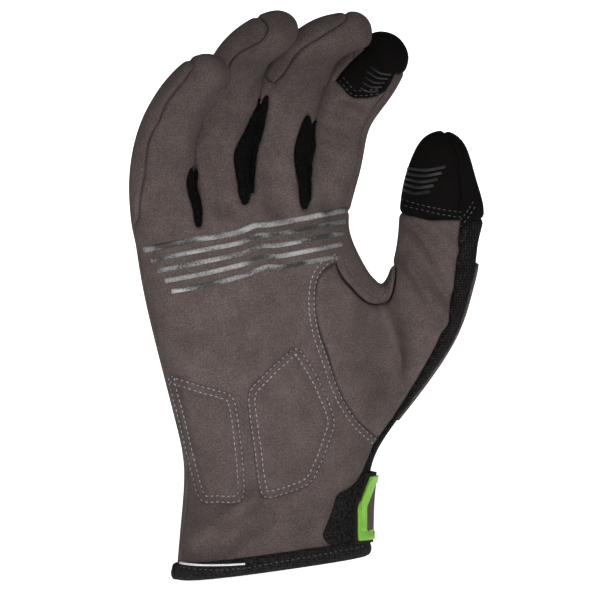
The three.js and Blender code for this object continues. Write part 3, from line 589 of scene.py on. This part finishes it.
for line in (ulnarLine, thenarLine):
    away, _, _ = insideLine(points[:, 0], points[:, 2], line)
    frontFace = normals[:, 1] < 0.1
    rowDents = sum(np.exp(-((away - row * mm) / (0.75 * mm)) ** 2) for row in (0.3, 2.8)) * 0.35 * mm
    inside = np.clip((away - 2.8 * mm) / (4 * mm), 0, 1)
    swell += np.where(frontFace, 0.9 * mm * inside * inside * (3 - 2 * inside) - rowDents, 0)
thumbRows, _, _ = insideLine(points[:, 0], points[:, 2], thumbLine)
onSeam = (np.hypot(points[:, 0] - 0.03, points[:, 2] - 0.1) < 0.08) & (normals[:, 1] < 0)
for row in (-1.2, -3.3):
    swell -= np.where(onSeam, np.exp(-((thumbRows - row * mm) / (0.7 * mm)) ** 2) * 0.3 * mm, 0)
points = points + normals * (swell - valley)[:, None]
setPoints(skin, points)
print("seams sunk")

# The palm layer laps over the thumb panel: its edge is lifted and the panel dips under it
lapAway = distanceToPath(points[:, 0], points[:, 2], smoothCurve(thumbSeam[8:]))
lapBand = np.exp(-(lapAway / (1.7 * mm)) ** 2) * (normals[:, 1] < 0.2)
lapLift = {"palm_panel": 0.4 * mm * lapBand, "thumb_panel": -0.6 * mm * lapBand}

surface = BVHTree.FromPolygons([Vector(p) for p in points], corners.tolist())
cameraSide = Vector((0, 1, 0))


def onSkin(x, z):
    hit = surface.ray_cast(Vector((x, -0.2, z)), cameraSide)
    if hit[0] is None:
        near = surface.find_nearest(Vector((x, 0, z)))
        return near[0], near[1]
    normal = hit[1]
    return hit[0], (normal if normal.y < 0 else -normal)


# One function turns sRGB hex to linear
def hexColor(value, alpha=1.0):
    parts = [int(value[i:i + 2], 16) / 255 for i in (0, 2, 4)]
    return [c / 12.92 if c <= 0.04045 else ((c + 0.055) / 1.055) ** 2.4 for c in parts] + [alpha]


def addNode(material, kind, links=(), **settings):
    node = material.node_tree.nodes.new(kind)
    for key, value in settings.items():
        if hasattr(node, key):
            setattr(node, key, value)
        else:
            node.inputs[key.replace("_", " ")].default_value = value
    for socket, source in links:
        material.node_tree.links.new(source, node.inputs[socket])
    return node


def startMaterial(name, **settings):
    material = bpy.data.materials.new(name)
    material.use_nodes = True
    shader = material.node_tree.nodes["Principled BSDF"]
    for key, value in settings.items():
        shader.inputs[key.replace("_", " ")].default_value = value
    place = addNode(material, "ShaderNodeTexCoord").outputs["Object"]
    return material, shader, place


def ramp(material, source, stops):
    node = addNode(material, "ShaderNodeValToRGB", [("Fac", source)])
    while len(node.color_ramp.elements) < len(stops):
        node.color_ramp.elements.new(0.5)
    for element, (position, color) in zip(node.color_ramp.elements, stops):
        element.position = position
        element.color = color
    return node.outputs["Color"]


def bump(material, shader, height, distance, strength, before=None):
    links = [("Height", height)] + ([("Normal", before)] if before else [])
    node = addNode(material, "ShaderNodeBump", links, Distance=distance, Strength=strength)
    material.node_tree.links.new(node.outputs["Normal"], shader.inputs["Normal"])
    return node.outputs["Normal"]


def suedeMaterial(name, dark, middleTone, light):
    # Synthetic suede: brushed short nap, dull, with soft cloudy patches where the nap leans
    material, shader, place = startMaterial(
        name, Roughness=0.95, Specular_IOR_Level=0.08, Sheen_Weight=0.08, Sheen_Roughness=0.6)
    shader.inputs["Sheen Tint"].default_value = hexColor(light)
    clouds = addNode(material, "ShaderNodeTexNoise", [("Vector", place)], Scale=90, Detail=4, Roughness=0.6)
    nap = addNode(material, "ShaderNodeTexNoise", [("Vector", place)], Scale=2700, Detail=2, Roughness=0.8)
    mixed = addNode(material, "ShaderNodeMix", [("A", clouds.outputs["Fac"]), ("B", nap.outputs["Fac"])],
                    data_type="FLOAT")
    mixed.inputs["Factor"].default_value = 0.8
    tone = ramp(material, mixed.outputs["Result"],
                [(0.38, hexColor(dark)), (0.5, hexColor(middleTone)), (0.62, hexColor(light))])
    material.node_tree.links.new(tone, shader.inputs["Base Color"])
    first = bump(material, shader, nap.outputs["Fac"], 0.00025, 0.5)
    bump(material, shader, clouds.outputs["Fac"], 0.0008, 0.25, first)
    return material


def meshMaterial(name, dark, middleTone, light):
    # Knitted polyester mesh: dark yarn in rows of small cells, about 1.1 mm apart
    material, shader, place = startMaterial(name, Roughness=0.9, Specular_IOR_Level=0.08)
    cells = addNode(material, "ShaderNodeTexVoronoi", [("Vector", place)], Scale=900, Randomness=0.35)
    tone = ramp(material, cells.outputs["Distance"],
                [(0.0, hexColor(dark)), (0.5, hexColor(middleTone)), (0.85, hexColor(light))])
    material.node_tree.links.new(tone, shader.inputs["Base Color"])
    bump(material, shader, cells.outputs["Distance"], 0.0006, 0.9)
    return material


def ribbedMaterial():
    # Polyester binding tape: fine ribs across the roll, about 0.9 mm apart
    material, shader, place = startMaterial("bindingTape", Roughness=0.85, Specular_IOR_Level=0.12)
    ribs = addNode(material, "ShaderNodeTexVoronoi", [("Vector", place)], Scale=800, Randomness=0.5)
    tone = ramp(material, ribs.outputs["Distance"], [(0.15, hexColor("020202")), (0.8, hexColor("242223"))])
    material.node_tree.links.new(tone, shader.inputs["Base Color"])
    bump(material, shader, ribs.outputs["Distance"], 0.0009, 1.0)
    return material


def pileMaterial():
    # Loop pile: a mat of tiny black loops
    material, shader, place = startMaterial("loopPile", Roughness=1.0, Specular_IOR_Level=0.1)
    loops = addNode(material, "ShaderNodeTexNoise", [("Vector", place)], Scale=900, Detail=4, Roughness=0.8)
    tone = ramp(material, loops.outputs["Fac"], [(0.42, hexColor("020202")), (0.62, hexColor("2b2929"))])
    material.node_tree.links.new(tone, shader.inputs["Base Color"])
    bump(material, shader, loops.outputs["Fac"], 0.0012, 1.0)
    return material


def siliconeMaterial(name, dark, base, glossy):
    # Printed silicone: smooth, wet-looking line; the broad light zones stretched along it in the base colour
    # are painted reflections
    material, shader, place = startMaterial(
        name, Roughness=glossy, Coat_Weight=0.04, Coat_Roughness=0.3, Specular_IOR_Level=0.2)
    stretches = addNode(material, "ShaderNodeMapping", [("Vector", place)])
    stretches.inputs["Scale"].default_value = (60, 60, 190)
    paintedGlints = addNode(material, "ShaderNodeTexNoise", [("Vector", stretches.outputs["Vector"])],
                    Scale=1, Detail=1)
    cloth = addNode(material, "ShaderNodeTexNoise", [("Vector", place)], Scale=1300, Detail=3)
    glintsAndCloth = addNode(material, "ShaderNodeMix", [("A", paintedGlints.outputs["Fac"]), ("B", cloth.outputs["Fac"])],
                      data_type="FLOAT")
    glintsAndCloth.inputs["Factor"].default_value = 0.35
    # The ramp runs from the silicone's dark tone up to the lighter tone given as base: where it turns light,
    # that is painted reflection
    tone = ramp(material, glintsAndCloth.outputs["Result"], [(0.42, hexColor(dark)), (0.64, hexColor(base))])
    material.node_tree.links.new(tone, shader.inputs["Base Color"])
    bump(material, shader, cloth.outputs["Fac"], 0.0004, 0.6)
    return material


def greenMaterial():
    # Moulded thermoplastic rubber: bright, satin, faintly uneven
    material, shader, place = startMaterial("limeRubber", Roughness=0.38, Specular_IOR_Level=0.5)
    haze = addNode(material, "ShaderNodeTexNoise", [("Vector", place)], Scale=300, Detail=2)
    tone = ramp(material, haze.outputs["Fac"], [(0.3, hexColor("649d22")), (0.7, hexColor("74b02c"))])
    material.node_tree.links.new(tone, shader.inputs["Base Color"])
    bump(material, shader, haze.outputs["Fac"], 0.0003, 0.2)
    return material


def threadMaterial(name, dark, light):
    # Twisted polyester sewing thread
    material, shader, place = startMaterial(name, Roughness=0.6, Specular_IOR_Level=0.35)
    twist = addNode(material, "ShaderNodeTexNoise", [("Vector", place)], Scale=2500, Detail=1)
    tone = ramp(material, twist.outputs["Fac"], [(0.35, hexColor(dark)), (0.65, hexColor(light))])
    material.node_tree.links.new(tone, shader.inputs["Base Color"])
    return material


suede = suedeMaterial("brushedSuede", "352d2b", "49403e", "5d5451")
tabSuede = suedeMaterial("tabSuede", "1a1614", "231e1b", "2e2824")
blackSuede = suedeMaterial("blackSuede", "040303", "080706", "0e0c0b")
knit = meshMaterial("gussetMesh", "020202", "0b0b0b", "2f2e2f")
# The fourchette copy of the black knit is darker than the gusset's: its own black plus painted shade of the
# clefts between the fingers
shadedWallKnit = meshMaterial("fourchetteMeshShaded", "010101", "030303", "131313")
tape = ribbedMaterial()
pile = pileMaterial()
# The lighter tones 949393 and 383737 are painted reflections along the silicone lines; the darker ones are
# the silicone's own colour
silicone = siliconeMaterial("siliconePrint", "2b2a2a", "949393", 0.5)
tipSilicone = siliconeMaterial("tipSilicone", "0c0b0b", "383737", 0.6)
lime = greenMaterial()
thread = threadMaterial("greyThread", "6f6f76", "a9a9b2")
darkThread = threadMaterial("darkThread", "2a2a2d", "5a5a60")
whiteThread = threadMaterial("whiteThread", "c8c8c8", "ececec")

panelLooks = {
    "palm_panel": (suede, "suede"), "thumb_panel": (suede, "suede"), "back_panel": (suede, "suede"),
    "ulnar_heel_pad": (suede, "suede"), "thenar_heel_pad": (suede, "suede"),
    "fourchette_little_ring": (shadedWallKnit, "mesh"), "fourchette_ring_middle": (shadedWallKnit, "mesh"),
    "fourchette_middle_index": (shadedWallKnit, "mesh"), "thumb_gusset": (knit, "mesh"),
    "thumb_tip": (blackSuede, "black_suede"), "thumb_tip_back": (blackSuede, "black_suede"),
    "index_tip": (blackSuede, "black_suede"),
}


def finish(obj, material, slot, *nodes):
    obj.data.materials.clear()
    obj.data.materials.append(material)
    for polygon in obj.data.polygons:
        polygon.use_smooth = True
    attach(obj, "root")
    if nodes:
        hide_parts(*nodes)
    return obj


# Closes a sheet into cloth of some thickness on its inner side
def thicken(bm, thickness):
    bm.normal_update()
    inward = {vert: vert.co - vert.normal * thickness for vert in bm.verts}
    bmesh.ops.extrude_face_region(bm, geom=bm.faces[:], use_keep_orig=True)
    for vert in inward:
        if vert.is_valid:
            vert.co = inward[vert]
    bmesh.ops.recalc_face_normals(bm, faces=bm.faces)


def pieceOf(name, faces, low, high, lift=None):
    used = np.unique(corners[faces])
    renumber = np.full(len(points), -1)
    renumber[used] = np.arange(len(used))
    mesh = bpy.data.meshes.new(name)
    mesh.from_pydata(points[used].tolist(), [], renumber[corners[faces]].tolist())
    mesh.update()
    raised = high + (lift[used][:, None] if lift is not None else 0)
    setPoints(mesh, points[used] + normals[used] * raised)
    bm = bmesh.new()
    bm.from_mesh(mesh)
    thicken(bm, high - low)
    bm.to_mesh(mesh)
    bm.free()
    return newObject(name, mesh)


normals = normalArray(skin)
for name in panels:
    chosen = np.flatnonzero(label == panelOf[name])
    obj = pieceOf(name + "_cloth", chosen, -wall, 0, lapLift.get(name))
    material, slot = panelLooks[name]
    finish(obj, material, slot, name, *(fingerBacks if name == "back_panel" else ()))
print("panels made")


# A strip laid on the skin along a curve, with a rounded section
def layStrip(name, line, width, height, rows=6, lay=onSkin):
    steps = len(line)
    bm = bmesh.new()
    bmesh.ops.create_grid(bm, x_segments=steps - 1, y_segments=rows, size=0.5)
    bm.verts.ensure_lookup_table()
    ways = np.gradient(line, axis=0)
    for vert in bm.verts:
        u = (vert.co.x + 0.5) * (steps - 1)
        v = vert.co.y * 2
        i = min(int(round(u)), steps - 1)
        way = ways[i] / np.hypot(*ways[i])
        x, z = line[i] + np.array((-way[1], way[0])) * v * width / 2
        place, normal = lay(x, z)
        vert.co = place + normal * height * (1 - abs(v) ** 8 if abs(v) < 0.99 else -0.3)
    mesh = bpy.data.meshes.new(name)
    bmesh.ops.recalc_face_normals(bm, faces=bm.faces)
    thicken(bm, 0.0003)
    bm.to_mesh(mesh)
    bm.free()
    return newObject(name, mesh)


def evenSteps(line, pitch):
    lengths = np.concatenate([[0], np.cumsum(np.hypot(*np.diff(line, axis=0).T))])
    count = max(2, int(round(lengths[-1] / pitch)) + 1)
    at = np.linspace(0, lengths[-1], count)
    return np.stack([np.interp(at, lengths, line[:, k]) for k in (0, 1)], 1)


def addLines(group, ends, width, height, material):
    for i in range(5):
        t = i / 4
        shares = [tuple((1 - t) * np.array(a) + t * np.array(b)) for a, b in zip(*ends)]
        line = evenSteps(smoothCurve(shares), 0.0009)
        node = f"{group}_{i + 1}"
        finish(layStrip(node + "_print", line, width, height), material, "silicone", node)


addLines("grip_stripe", palmStripes, 0.0021, 0.00035, silicone)
addLines("index_grip", indexLines, 0.0006, 0.0003, tipSilicone)
addLines("thumb_grip", thumbLines, 0.0012, 0.0003, tipSilicone)
print("silicone laid")


# Rows of stitches: short rounded threads on the skin, all in one mesh
def sewRow(bm, line, pitch, length, radius, lift=0.0002, lay=onSkin):
    spots = evenSteps(line, pitch)
    ways = np.gradient(spots, axis=0)
    for (x, z), way in zip(spots, ways):
        way = way / np.hypot(*way)
        place, normal = lay(x, z)
        ahead, _ = lay(x + way[0] * 0.0008, z + way[1] * 0.0008)
        along = (ahead - place)
        if along.length < 1e-5 or along.length > 0.003:
            continue
        along.normalize()
        side = normal.cross(along).normalized()
        up = along.cross(side)
        turn = Matrix((along, side, up)).transposed().to_4x4()
        size = Matrix.Diagonal((length / 2, radius, radius, 1))
        bmesh.ops.create_icosphere(bm, subdivisions=1, radius=1.0,
                                   matrix=Matrix.Translation(place + normal * lift) @ turn @ size)


def sew(name, rows, material, pitch=0.0023, length=0.0015, radius=0.0002, lay=onSkin):
    bm = bmesh.new()
    for row in rows:
        sewRow(bm, row, pitch, length, radius, lay=lay)
    mesh = bpy.data.meshes.new(name)
    bm.to_mesh(mesh)
    bm.free()
    finish(newObject(name, mesh), material, "thread")


def shifted(line, distance, closed=True):
    ways = np.gradient(line, axis=0) if not closed else (np.roll(line, -1, 0) - np.roll(line, 1, 0))
    ways = ways / np.maximum(np.hypot(*ways.T)[:, None], 1e-9)
    return line + np.stack([ways[:, 1], -ways[:, 0]], 1) * distance


def closedRow(line):
    return np.concatenate([line, line[:1]])


def clockwise(line):
    x, z = line.T
    return np.sum(x * np.roll(z, -1) - z * np.roll(x, -1)) < 0


padRows = []
for line in (ulnarLine, thenarLine):
    sign = 1 if clockwise(line) else -1
    for inset in (0.0003, 0.0028):
        padRows.append(closedRow(shifted(line, sign * inset)))
sew("padStitches", padRows, thread)
seamLine = smoothCurve(thumbSeam[1:10])
sew("thumbSeamStitches", [shifted(seamLine, -0.0012, False), shifted(seamLine, -0.0033, False)], thread)
crotchLine = smoothCurve(thumbSeam[9:15])
sew("crotchStitches", [shifted(crotchLine, -0.0016, False), shifted(crotchLine, -0.0034, False)], darkThread)
thumbTipRow = smoothCurve(thumbTipEdge)
sew("thumbTipStitches", [shifted(thumbTipRow, d, False) for d in (-0.0017, -0.0038)], darkThread)
tipRow = smoothCurve(indexTipArc[1:5])
sew("indexTipStitches", [shifted(tipRow, d, False) for d in (-0.0015, -0.0034)], darkThread)
sew("thumbBackStitches", [pixelPath(row) for row in thumbBackRows], darkThread)
print("stitches sewn")

# Loop patch, tab, trim and inlay follow the skin at their own heights
normals = normalArray(skin)


def regionPiece(name, field, low, high, material, slot, node):
    lifted = middle + faceNormals * high
    faces = np.flatnonzero(field(lifted, faceNormals) > 0)
    chosen = corners[faces]
    used, counts = np.unique(np.sort(np.stack([chosen, np.roll(chosen, -1, 1)], 2).reshape(-1, 2), 1),
                             axis=0, return_counts=True)
    edge = np.unique(used[counts == 1])
    kept = points[edge].copy()
    step = 0.0001
    for _ in range(4):
        place = points[edge] + normals[edge] * high
        value = field(place, normals[edge])
        slope = np.stack([(field(place + np.eye(3)[k] * step, normals[edge]) - value) / step
                          for k in range(3)], 1)
        slope -= normals[edge] * (slope * normals[edge]).sum(1, keepdims=True)
        steep = (slope ** 2).sum(1, keepdims=True)
        move = -np.clip(value, -0.001, 0.001)[:, None] * slope / np.maximum(steep, 0.05)
        points[edge] += np.where(steep > 0.05, move, 0)
    obj = pieceOf(name, faces, low, high)
    points[edge] = kept
    bevel = obj.modifiers.new("Soften", "BEVEL")
    bevel.width = 0.0004
    bevel.segments = 2
    bevel.limit_method = "ANGLE"
    return finish(obj, material, slot, node)


middle = points[corners].mean(1)
faceNormals = normals[corners].mean(1)
patchLine = smoothCurve(loopPatch, closed=True)


def patchField(p, n):
    away, _, _ = insideLine(p[:, 0], p[:, 2], patchLine)
    return np.where(n[:, 1] < 0.15, away, -1)


regionPiece("loop_patch_pile", patchField, 0.0001, 0.0012, pile, "loop_pile", "loop_patch")

tab = {"across": 0.372, "back": 0.1, "low": 0.069, "high": 0.262, "slantFrom": 0.17, "slant": 0.42,
       "border": 0.0014, "trim": 0.0031}


# Distance inside the tab's outline: its end on the palm side is slanted, and it runs round to the back
def tabField(p, n):
    slanted = tab["slant"] * np.maximum(0, p[:, 2] - tab["slantFrom"] * palmLength)
    front = p[:, 0] - tab["across"] * palmWidth - slanted
    back = p[:, 0] - tab["back"] * palmWidth
    ends = np.minimum(p[:, 2] - tab["low"] * palmLength, tab["high"] * palmLength - p[:, 2])
    return np.minimum(ends, np.where(p @ np.array(palmFront) > 0, front, back))


def trimField(p, n):
    edge = tabField(p, n)
    return np.minimum(np.minimum(edge - tab["border"], tab["border"] + tab["trim"] - edge),
                      0.012 + p @ np.array(palmFront))


def inlayField(p, n):
    return np.minimum(tabField(p, n) - tab["border"] - tab["trim"], 0.012 + p @ np.array(palmFront))


regionPiece("closure_tab_strap", tabField, 0.0012, 0.0028, tabSuede, "black_suede", "closure_tab")
regionPiece("tab_trim_moulding", trimField, 0.0029, 0.0039, lime, "green_rubber", "tab_trim")
regionPiece("tab_inlay_cloth", inlayField, 0.0029, 0.0034, suede, "suede", "tab_inlay")

# Layer on the back of the thumb
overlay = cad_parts["thumb_back_overlay"]


def overlayFaces():
    low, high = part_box("thumb_back_overlay")
    c = middle
    inBox = np.all((c > np.array(low) - 0.001) & (c < np.array(high) + 0.001), axis=1)
    near = BVHTree.FromPolygons([v.co.copy() for v in overlay.data.vertices],
                                [tuple(f.vertices) for f in overlay.data.polygons])
    keep = []
    for f in np.flatnonzero(inBox & (label == panelOf["thumb_gusset"])):
        hit = near.find_nearest(Vector(c[f]))
        if hit[3] is not None and hit[3] < 0.0009:
            keep.append(f)
    return np.array(keep)


obj = pieceOf("thumb_back_overlay_cloth", overlayFaces(), 0.0002, 0.0014)
finish(obj, suede, "suede", "thumb_back_overlay")
print("tab and overlay made")

# Rolled binding round the wrist opening: a circle swept along the rim
rimEdges = [key for key, ends in edgePairs.items() if len(ends) == 1]
follow = {}
for a, b in rimEdges:
    follow.setdefault(a, []).append(b)
    follow.setdefault(b, []).append(a)
loop = [rimEdges[0][0]]
while len(loop) < len(rimEdges):
    options = [n for n in follow[loop[-1]] if len(loop) < 2 or n != loop[-2]]
    loop.append(options[0])
rim = points[loop]
out = normals[loop].copy()
out[:, 2] = 0
out /= np.linalg.norm(out, axis=1, keepdims=True)
binding = {
    "halfWide": 0.0031, "halfHigh": 0.0038, "sides": 16, "rise": 0.002, "groove": 0.0005,
    "whiteLine": [(181, 560.5), (200, 560.5), (225, 560), (246, 559)],
    "whiteWide": 0.0003, "whiteHigh": 0.00025,
    "stitchRow": [(186, 564), (215, 565), (245, 563), (285, 557), (326, 551), (362, 546)],
}


def bindingPiece():
    bm = bmesh.new()
    rings = []
    for k in range(0, len(loop), 2):
        ring = bmesh.ops.create_circle(bm, segments=binding["sides"], radius=1)["verts"]
        centre = Vector(rim[k] - out[k] * wall / 2)
        for i, vert in enumerate(ring):
            a = 2 * math.pi * i / binding["sides"]
            square = 1 / (abs(math.cos(a)) ** 3 + abs(math.sin(a)) ** 3) ** (1 / 3)
            if abs(a - math.pi / 8) < 0.1:
                square -= binding["groove"] / binding["halfWide"]
            vert.co = (centre + Vector(out[k]) * math.cos(a) * square * binding["halfWide"]
                       + Vector((0, 0, 1)) * (math.sin(a) * square * binding["halfHigh"] + binding["rise"]))
        rings.append([e for e in bm.edges if e.verts[0] in ring and e.verts[1] in ring])
    for k in range(len(rings)):
        bmesh.ops.bridge_loops(bm, edges=rings[k] + rings[(k + 1) % len(rings)])
    bmesh.ops.recalc_face_normals(bm, faces=bm.faces)
    mesh = bpy.data.meshes.new("binding")
    bm.to_mesh(mesh)
    bm.free()
    return newObject("cuff_binding_tape", mesh)


obj = bindingPiece()
smooth = obj.modifiers.new("Smooth", "SUBSURF")
smooth.levels = smooth.render_levels = 1
finish(obj, tape, "binding", "cuff_binding")
rollSurface = BVHTree.FromObject(obj, bpy.context.evaluated_depsgraph_get())


def onBinding(x, z):
    hit = rollSurface.ray_cast(Vector((x, -0.2, z)), cameraSide)
    return (hit[0], hit[1]) if hit[0] is not None else onSkin(x, z)


whiteLine = evenSteps(pixelPath(binding["whiteLine"]), 0.0012)
white = layStrip("bindingWhiteThread", whiteLine, binding["whiteWide"], binding["whiteHigh"], lay=onBinding)
finish(white, whiteThread, "thread")
sew("bindingStitches", [pixelPath(binding["stitchRow"])], darkThread, lay=onBinding)
print("binding made")

# Camera, floor and light
camera = bpy.data.objects.new("camera", bpy.data.cameras.new("camera"))
bpy.context.scene.collection.objects.link(camera)
camera.data.lens = 226.8
camera.data.sensor_width = 36
camera.location = (0.01185, -1.6, 0.11345)
camera.rotation_euler = (math.pi / 2, 0, 0)
bpy.context.scene.camera = camera

# Round studio: a pale floor that bends up into a wall, and glows only behind the glove
studio = {
    "size": 4.0, "below": -0.004, "bendFrom": 2.6, "radius": 0.6, "glowHalfWide": 0.5, "glowFrom": -0.16,
}
bm = bmesh.new()
bmesh.ops.create_grid(bm, x_segments=100, y_segments=100, size=studio["size"])
for vert in bm.verts:
    away = math.hypot(vert.co.x, vert.co.y)
    past = away - studio["bendFrom"]
    vert.co.z = studio["below"]
    if past > 0:
        a = min(past / studio["radius"], math.pi / 2)
        rest = max(0, past - studio["radius"] * math.pi / 2)
        share = (studio["bendFrom"] + math.sin(a) * studio["radius"]) / away
        vert.co.x *= share
        vert.co.y *= share
        vert.co.z += (1 - math.cos(a)) * studio["radius"] + rest
floor = newObject("floor", bpy.data.meshes.new("floor"))
bm.to_mesh(floor.data)
bm.free()


def paperMaterial(name, colour, glow):
    # Matt white studio paper
    material, shader, _ = startMaterial(name, Roughness=0.9)
    shader.inputs["Base Color"].default_value = hexColor(colour)
    shader.inputs["Emission Color"].default_value = hexColor("ffffff")
    shader.inputs["Emission Strength"].default_value = glow
    return material


floor.data.materials.append(paperMaterial("studioPaper", "d0d0d0", 0.22))
floor.data.materials.append(paperMaterial("litPaper", "ffffff", 1.0))
for polygon in floor.data.polygons:
    x, y, _ = polygon.center
    polygon.material_index = int(abs(x) < studio["glowHalfWide"] and y > studio["glowFrom"])
floor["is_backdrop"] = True

world = bpy.data.worlds.new("studio")
world.use_nodes = True
world.node_tree.nodes["Background"].inputs[0].default_value = (1, 1, 1, 1)
world.node_tree.nodes["Background"].inputs[1].default_value = 0.12
bpy.context.scene.world = world
bpy.context.scene.view_settings.view_transform = "Standard"


def addLight(name, place, power, size, aim=(0.01, 0, 0.11), spread=180):
    light = bpy.data.lights.new(name, "AREA")
    light.energy = power
    light.size = size
    light.spread = math.radians(spread)
    obj = bpy.data.objects.new(name, light)
    obj.location = place
    obj.rotation_euler = (Vector(aim) - Vector(place)).to_track_quat("-Z", "Y").to_euler()
    bpy.context.scene.collection.objects.link(obj)


addLight("key", (0.2, -1.6, 0.02), 0.31, 0.2, (-0.005, 0, 0.075), 14)
addLight("top", (-0.3, -1.35, 1.05), 5, 0.3)

low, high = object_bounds()
